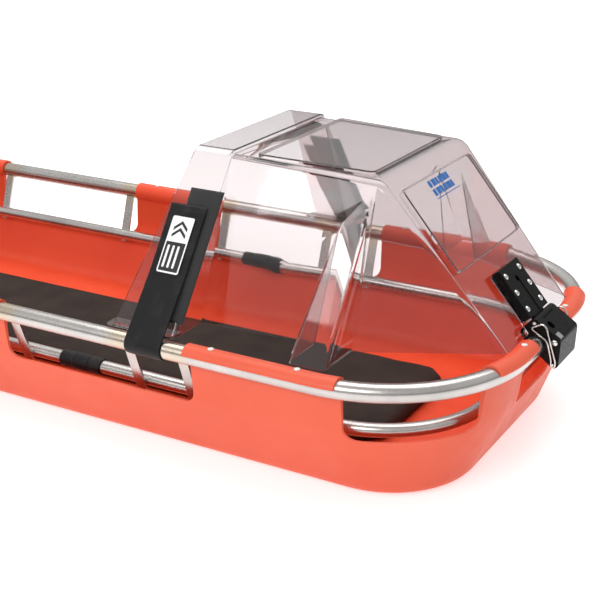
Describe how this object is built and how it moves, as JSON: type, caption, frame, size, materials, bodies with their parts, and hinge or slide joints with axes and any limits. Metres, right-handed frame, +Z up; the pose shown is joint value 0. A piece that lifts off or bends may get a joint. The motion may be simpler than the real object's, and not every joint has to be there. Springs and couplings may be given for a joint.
{
  "type": "basket rescue stretcher with clear patient shield",
  "caption": "Long plastic rescue basket on a steel rail frame, with a clear face shield that is hinged and clamped to the head rail and strapped down over the patient's head.",
  "frame": {"origin": "centre of the flat base, on the ground", "axes": "+X to the head end with the shield, +Z up, +Y to the patient's right side"},
  "size_m": [2.1579, 0.6152, 0.403],
  "materials": {
    "shell_plastic": "satin",
    "rail_steel": "satin",
    "rivet_white": "gloss",
    "pad_foam": "matte",
    "webbing": "matte",
    "loop_pile": "matte",
    "clamp_black": "satin",
    "bright_steel": "polished",
    "clear_plastic": "gloss",
    "backing_alloy": "satin",
    "sticker_blue": "satin",
    "label_white": "matte"
  },
  "bodies": {
    "litter": {"shell": "shell_plastic", "top_rail_head": "rail_steel", "top_rail_foot": "rail_steel", "lower_rail_head": "rail_steel", "lower_rail_foot": "rail_steel", "rail_splices": "rail_steel", "stanchions_left": "rail_steel", "stanchions_right": "rail_steel", "lip_rivets": "rivet_white", "mattress_pad": "pad_foam", "restraint_loop_left": "webbing", "restraint_loop_right": "webbing", "clamp_saddle": "clamp_black", "jaw_pin": "bright_steel", "hinge_pin": "bright_steel", "clamp_screws": "bright_steel"},
    "shield": {"shield_shell": "clear_plastic", "loop_patch_left": "loop_pile", "loop_patch_right": "loop_pile", "hinge_block": "clamp_black", "backing_plate": "backing_alloy", "hinge_rivets": "bright_steel", "shield_mark": "sticker_blue"},
    "jaw": {"clamp_jaw": "clamp_black"},
    "latch": {"bail_left": "bright_steel", "bail_right": "bright_steel", "latch_rod": "bright_steel"},
    "strap_left": {"strap_left": "webbing", "strap_label_left": "label_white"},
    "strap_right": {"strap_right": "webbing", "strap_label_right": "label_white"}
  },
  "joints": [
    {"name": "shield_tilt", "type": "hinge", "parent": "litter", "child": "shield", "pos_m": [1.0503, 0, 0.197], "axis": [0, 1, 0], "range_deg": [0, 100], "deforming": ["strap_left", "strap_label_left", "strap_right", "strap_label_right"]},
    {"name": "jaw_swing", "type": "hinge", "parent": "litter", "child": "jaw", "pos_m": [1.0383, 0, 0.181], "axis": [0, 1, 0], "range_deg": [0, 60]},
    {"name": "latch_swing", "type": "hinge", "parent": "litter", "child": "latch", "pos_m": [1.0803, 0, 0.145], "axis": [0, 1, 0], "range_deg": [0, 110]},
    {"name": "strap_left_peel", "type": "hinge", "parent": "litter", "child": "strap_left", "pos_m": [0.6038, -0.2923, 0.168], "axis": [1, 0, 0], "range_deg": [0, 110]},
    {"name": "strap_right_peel", "type": "hinge", "parent": "litter", "child": "strap_right", "pos_m": [0.6038, 0.2923, 0.168], "axis": [-1, 0, 0], "range_deg": [0, 110]}
  ]
}
